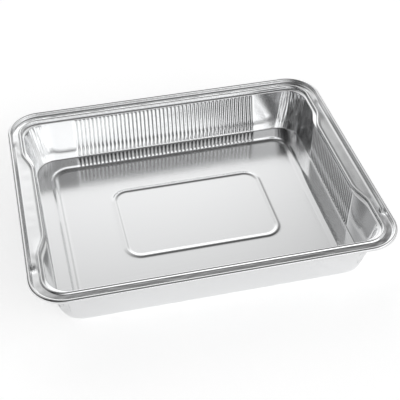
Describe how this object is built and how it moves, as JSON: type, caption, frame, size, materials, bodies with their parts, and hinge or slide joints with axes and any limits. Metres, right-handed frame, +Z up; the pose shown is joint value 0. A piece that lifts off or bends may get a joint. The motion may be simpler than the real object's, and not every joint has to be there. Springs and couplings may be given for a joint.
{
  "type": "foil tray",
  "caption": "Rectangular pressed foil tray with a rolled rim, a raised lip, grip panels on the short sides, fluted walls and raised beads in the floor.",
  "frame": {"origin": "under the middle of the floor, on the plane that the tray stands on", "axes": "+X along the long sides, +Y along the short sides, +Z up out of the opening"},
  "size_m": [0.325, 0.265, 0.05],
  "materials": {
    "foil": "satin rolled foil"
  },
  "bodies": {
    "root": {"foil_tray": "foil"}
  },
  "joints": []
}
